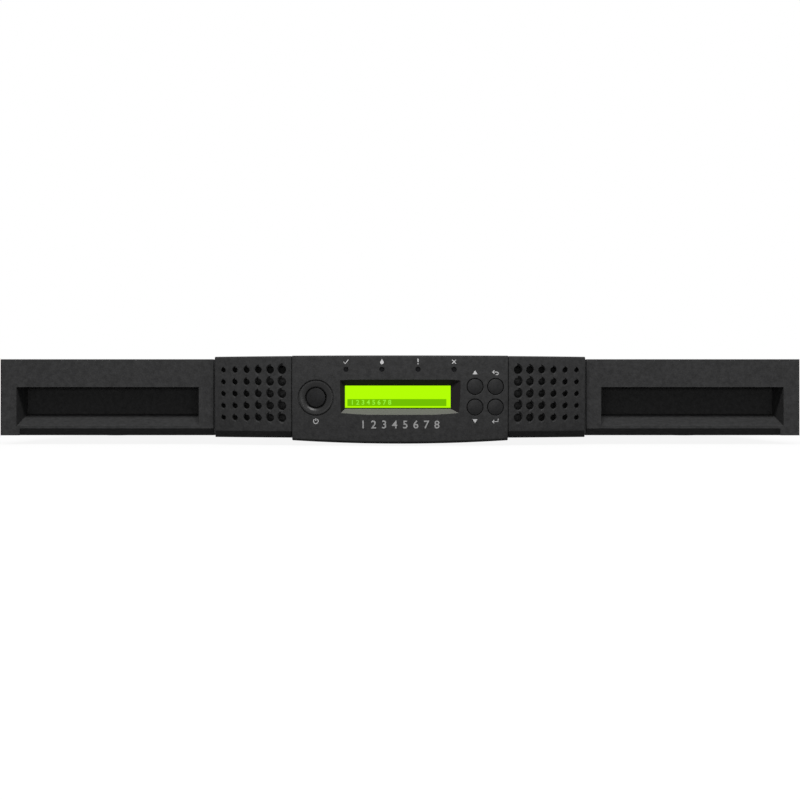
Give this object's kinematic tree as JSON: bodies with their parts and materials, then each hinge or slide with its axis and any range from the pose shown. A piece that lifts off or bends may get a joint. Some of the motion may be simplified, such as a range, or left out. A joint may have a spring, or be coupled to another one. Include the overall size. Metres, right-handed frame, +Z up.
{
  "type": "data tape library",
  "caption": "Rack tape library with two pull-out cartridge magazines, a travelling picker, a rear drive sled and a front control panel with display and buttons.",
  "frame": {"origin": "bottom centre of the whole object's box, on the surface that the feet stand on", "axes": "+X to the right seen from the front, +Y from the front towards the rear panel, +Z up"},
  "size_m": [0.447, 0.7986, 0.049],
  "materials": {
    "chassis_steel": "satin black powder coat",
    "zinc_steel": "bright zinc plate",
    "foot_rubber": "matte",
    "screw_steel": "nickel plate",
    "front_plastic": "fine moulded texture, charcoal",
    "display_glass": "backlit window",
    "display_body": "matte",
    "clear_plastic": "frosted",
    "circuit_board": "solder mask",
    "button_plastic": "satin",
    "magazine_plastic": "moulded",
    "spring_steel": "satin",
    "ground_steel": "ground",
    "belt_rubber": "toothed",
    "pulley_metal": "turned",
    "motor_metal": "black",
    "picker_plastic": "glass filled",
    "drive_metal": "satin",
    "fan_plastic": "moulded",
    "supply_metal": "satin",
    "inlet_plastic": "moulded",
    "standoff_brass": "turned",
    "port_metal": "nickel plate"
  },
  "bodies": {
    "chassis": {"base_tray": "chassis_steel", "top_cover": "chassis_steel", "rear_panel": "chassis_steel", "front_frame": "chassis_steel", "left_bay_wall": "chassis_steel", "right_bay_wall": "chassis_steel", "feet": "foot_rubber", "cover_screws": "screw_steel", "left_vent_panel": "front_plastic", "right_vent_panel": "front_plastic", "control_panel": "front_plastic", "display_window": "display_glass", "display_module": "display_body", "light_pipes": "clear_plastic", "panel_board": "circuit_board", "left_latch_housing": "zinc_steel", "right_latch_housing": "zinc_steel", "guide_rods": "ground_steel", "rod_brackets": "zinc_steel", "picker_belt": "belt_rubber", "idler_pin": "ground_steel", "picker_motor": "motor_metal", "power_supply": "supply_metal", "power_inlet": "inlet_plastic", "supply_fan_frame": "fan_plastic", "controller_board": "circuit_board", "board_standoffs": "standoff_brass", "network_port": "port_metal", "usb_port": "port_metal", "serial_port": "port_metal"},
    "left_magazine": {"left_magazine_face": "front_plastic", "left_magazine_tray": "magazine_plastic", "left_magazine_springs": "spring_steel", "left_magazine_catch": "zinc_steel"},
    "right_magazine": {"right_magazine_face": "front_plastic", "right_magazine_tray": "magazine_plastic", "right_magazine_springs": "spring_steel", "right_magazine_catch": "zinc_steel"},
    "power_key": {"power_button": "button_plastic"},
    "up_key": {"up_button": "button_plastic"},
    "down_key": {"down_button": "button_plastic"},
    "cancel_key": {"cancel_button": "button_plastic"},
    "enter_key": {"enter_button": "button_plastic"},
    "left_latch": {"left_latch_pin": "ground_steel"},
    "right_latch": {"right_latch_pin": "ground_steel"},
    "picker_carriage": {"carriage": "picker_plastic"},
    "picker_turntable": {"turntable": "picker_plastic"},
    "picker_gripper": {"gripper": "spring_steel"},
    "belt_idler": {"idler_pulley": "pulley_metal"},
    "belt_driver": {"drive_pulley": "pulley_metal"},
    "sled": {"drive_sled": "zinc_steel", "tape_drive": "drive_metal", "drive_fan_frame": "fan_plastic"},
    "drive_fan": {"drive_fan_rotor": "fan_plastic"},
    "supply_fan": {"supply_fan_rotor": "fan_plastic"},
    "left_thumb": {"left_thumbscrew": "screw_steel"},
    "right_thumb": {"right_thumbscrew": "screw_steel"}
  },
  "joints": [
    {"name": "left_magazine_slide", "type": "slide", "parent": "chassis", "child": "left_magazine", "axis": [0, -1, 0], "range_m": [0, 0.42]},
    {"name": "right_magazine_slide", "type": "slide", "parent": "chassis", "child": "right_magazine", "axis": [0, -1, 0], "range_m": [0, 0.42]},
    {"name": "power_press", "type": "slide", "parent": "chassis", "child": "power_key", "axis": [0, 1, 0], "range_m": [0, 0.001], "stiffness_N_per_m": 600},
    {"name": "up_press", "type": "slide", "parent": "chassis", "child": "up_key", "axis": [0, 1, 0], "range_m": [0, 0.001], "stiffness_N_per_m": 600},
    {"name": "down_press", "type": "slide", "parent": "chassis", "child": "down_key", "axis": [0, 1, 0], "range_m": [0, 0.001], "stiffness_N_per_m": 600},
    {"name": "cancel_press", "type": "slide", "parent": "chassis", "child": "cancel_key", "axis": [0, 1, 0], "range_m": [0, 0.001], "stiffness_N_per_m": 600},
    {"name": "enter_press", "type": "slide", "parent": "chassis", "child": "enter_key", "axis": [0, 1, 0], "range_m": [0, 0.001], "stiffness_N_per_m": 600},
    {"name": "left_latch_lift", "type": "slide", "parent": "chassis", "child": "left_latch", "axis": [0, 0, 1], "range_m": [-0.005, 0]},
    {"name": "right_latch_lift", "type": "slide", "parent": "chassis", "child": "right_latch", "axis": [0, 0, 1], "range_m": [-0.005, 0]},
    {"name": "picker_travel", "type": "slide", "parent": "chassis", "child": "picker_carriage", "axis": [0, 1, 0], "range_m": [-0.333, 0.008]},
    {"name": "turntable_turn", "type": "hinge", "parent": "picker_carriage", "child": "picker_turntable", "pos_m": [0, 0.049, 0.011], "axis": [0, 0, 1], "range_deg": [-90, 90]},
    {"name": "gripper_reach", "type": "slide", "parent": "picker_turntable", "child": "picker_gripper", "axis": [0, 1, 0], "range_m": [0, 0.098]},
    {"name": "idler_spin", "type": "hinge", "parent": "chassis", "child": "belt_idler", "pos_m": [0.096, -0.34725, 0.0112], "axis": [0, 0, 1], "continuous": true},
    {"name": "driver_spin", "type": "hinge", "parent": "chassis", "child": "belt_driver", "pos_m": [0.096, 0.13525, 0.0112], "axis": [0, 0, 1], "continuous": true},
    {"name": "sled_slide", "type": "slide", "parent": "chassis", "child": "sled", "axis": [0, 1, 0], "range_m": [0, 0.24]},
    {"name": "drive_fan_spin", "type": "hinge", "parent": "sled", "child": "drive_fan", "pos_m": [-0.05, 0.37905, 0.0263], "axis": [0, 1, 0], "continuous": true},
    {"name": "supply_fan_spin", "type": "hinge", "parent": "chassis", "child": "supply_fan", "pos_m": [-0.1403, 0.37775, 0.0263], "axis": [0, 1, 0], "continuous": true},
    {"name": "left_thumbscrew_turn", "type": "hinge", "parent": "sled", "child": "left_thumb", "pos_m": [-0.0837, 0.38705, 0.0263], "axis": [0, 1, 0], "continuous": true},
    {"name": "right_thumbscrew_turn", "type": "hinge", "parent": "sled", "child": "right_thumb", "pos_m": [0.0837, 0.38705, 0.0263], "axis": [0, 1, 0], "continuous": true}
  ],
  "couplings": [
    {"joint": "idler_spin", "follows": "picker_travel", "rad_per_m": -217.39},
    {"joint": "driver_spin", "follows": "picker_travel", "rad_per_m": -217.39}
  ]
}
